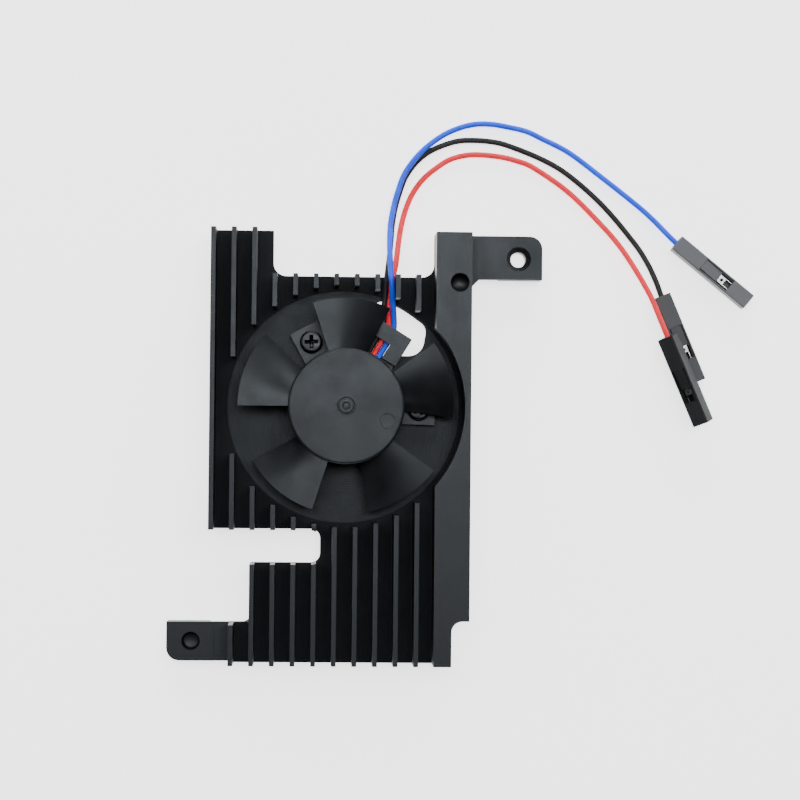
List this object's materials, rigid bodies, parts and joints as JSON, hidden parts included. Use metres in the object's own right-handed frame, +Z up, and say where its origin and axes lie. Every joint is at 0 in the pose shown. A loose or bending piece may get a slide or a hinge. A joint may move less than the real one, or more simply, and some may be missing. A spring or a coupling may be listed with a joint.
{
  "type": "heatsink with fan for a single board computer",
  "caption": "Flat finned black heatsink with screw tabs and a frameless cooling fan in a round pocket, for a small computer board; thin coloured wires end in push-on connectors.",
  "frame": {"origin": "middle of the heatsink's footprint, on the plane of its two feet", "axes": "+Z up towards the fan, +Y along the fins towards the end the wires leave, +X across the board towards the solid bar"},
  "size_m": [0.0888, 0.0825, 0.0101],
  "materials": {
    "black_anodised": "black anodised, satin, machined",
    "black_plastic": "moulded, satin",
    "connector_black": "moulded, satin",
    "grey_plastic": "moulded, satin",
    "chip_resin": "matt epoxy",
    "black_steel": "blackened",
    "bright_steel": "bright",
    "bronze": "sintered bronze",
    "copper": "enamelled copper winding",
    "tinned_metal": "tinned phosphor bronze",
    "green_laminate": "lacquered glass laminate",
    "ferrite": "sintered ferrite",
    "thermal_pad": "soft silicone",
    "white_nylon": "natural nylon",
    "blue_insulation": "soft plastic sleeve",
    "black_insulation": "soft plastic sleeve",
    "red_insulation": "soft plastic sleeve"
  },
  "bodies": {
    "frame": {"heatsink": "black_anodised", "thermal_pad_processor": "thermal_pad", "thermal_pad_memory": "thermal_pad", "thermal_pad_usb": "thermal_pad", "thermal_pad_power": "thermal_pad", "fan_base": "black_plastic", "fan_screw_1": "black_steel", "fan_screw_2": "black_steel", "fan_screw_3": "black_steel", "fan_circuit_board": "green_laminate", "fan_driver_chip": "chip_resin", "stator_core": "bright_steel", "stator_coil_1": "copper", "stator_coil_2": "copper", "stator_coil_3": "copper", "stator_coil_4": "copper", "bearing_sleeve": "bronze", "thrust_washer": "white_nylon", "wire_blue": "blue_insulation", "wire_black": "black_insulation", "wire_red": "red_insulation", "connector_grey": "grey_plastic", "connector_black_flat": "connector_black", "connector_black_leaning": "connector_black", "contact_grey": "tinned_metal", "contact_black_flat": "tinned_metal", "contact_black_leaning": "tinned_metal"},
    "rotor": {"impeller": "black_plastic", "rotor_yoke": "bright_steel", "rotor_magnet": "ferrite", "fan_shaft": "bright_steel", "shaft_retaining_clip": "white_nylon"}
  },
  "joints": [
    {"name": "fan_spin", "type": "hinge", "parent": "frame", "child": "rotor", "pos_m": [-0.0015, 0.00605, 0.0075], "axis": [0, 0, 1], "continuous": true}
  ]
}
